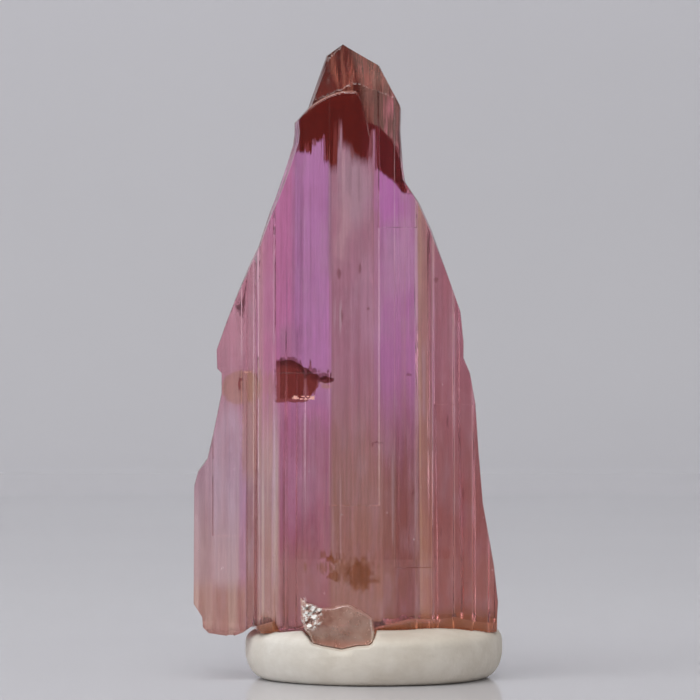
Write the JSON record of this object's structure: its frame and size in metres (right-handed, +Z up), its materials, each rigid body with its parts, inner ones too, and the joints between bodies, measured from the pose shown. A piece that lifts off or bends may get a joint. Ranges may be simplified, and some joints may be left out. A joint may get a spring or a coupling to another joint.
{
  "type": "tanzanite crystal",
  "caption": "Upright tapering pink-violet crystal with deep lengthwise lines, a small faceted head and a broken foot, standing in a low disc of white mineral tack.",
  "frame": {"origin": "on the surface it stands on, under the middle of the whole piece's box", "axes": "+Z up along the crystal's length, -Y the lined front face with the lump, +X to the right seen from the front"},
  "size_m": [0.0154, 0.0121, 0.0318],
  "materials": {
    "tanzanite": "clear pink-violet crystal, glossy along its lines, with a colourless lump at the foot",
    "white_tack": "matte, slightly waxy, hand pressed"
  },
  "bodies": {
    "root": {"crystal": "tanzanite", "putty_base": "white_tack"}
  },
  "joints": []
}
